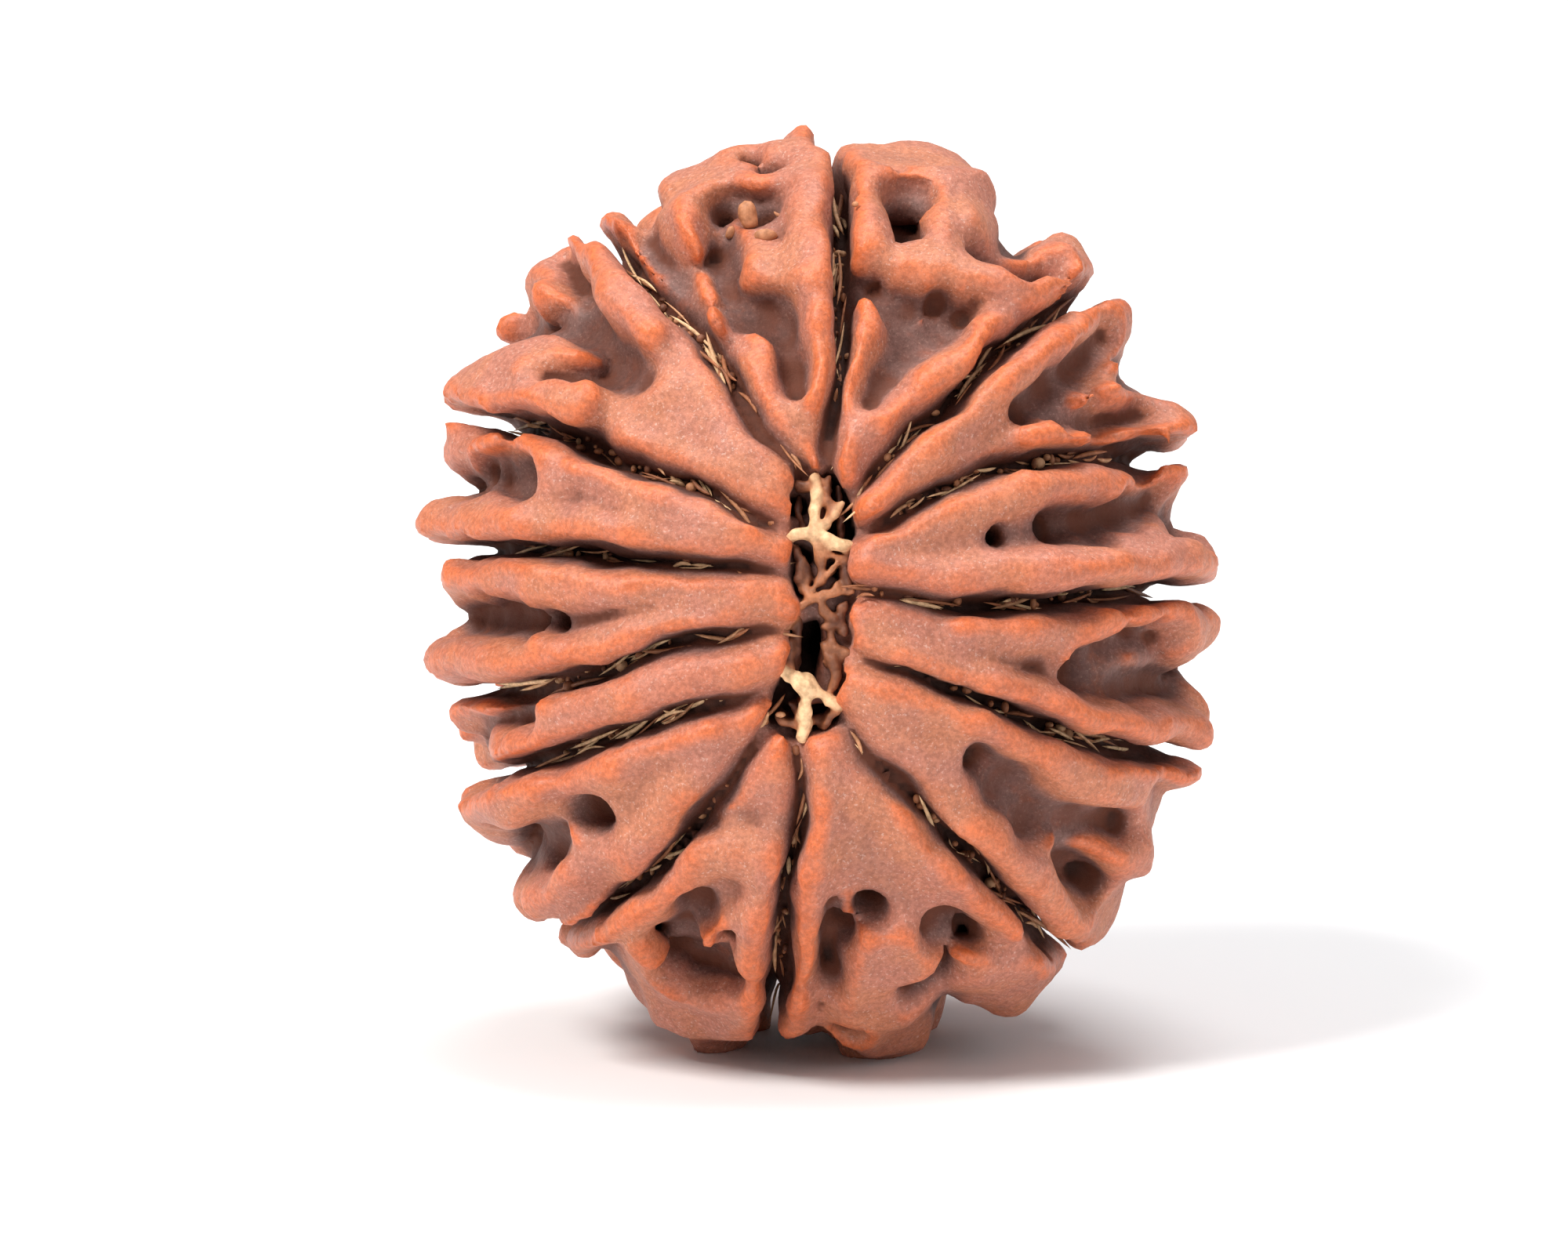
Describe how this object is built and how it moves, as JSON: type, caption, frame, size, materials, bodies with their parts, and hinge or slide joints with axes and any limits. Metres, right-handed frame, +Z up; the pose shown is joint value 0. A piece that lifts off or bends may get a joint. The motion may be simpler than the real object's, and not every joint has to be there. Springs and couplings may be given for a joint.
{
  "type": "rudraksha bead",
  "caption": "Rudraksha bead: deeply grooved, knobbly seed stone on its side, with a natural thread channel through it.",
  "frame": {"origin": "centre of the box in plan, at the height of the surface that the bead stands on", "axes": "+Z up, the longest way; Y runs roughly along the thread channel, with its front mouth towards -Y and looking 10 degrees up; +X to the right of the front mouth"},
  "size_m": [0.0218, 0.0192, 0.0252],
  "materials": {
    "stone": "dry reddish brown seed stone, oiled sheen on the ridges, grey-mauve in the hollows and near black in the grooves"
  },
  "bodies": {
    "root": {"bead_stone": "stone"}
  },
  "joints": []
}
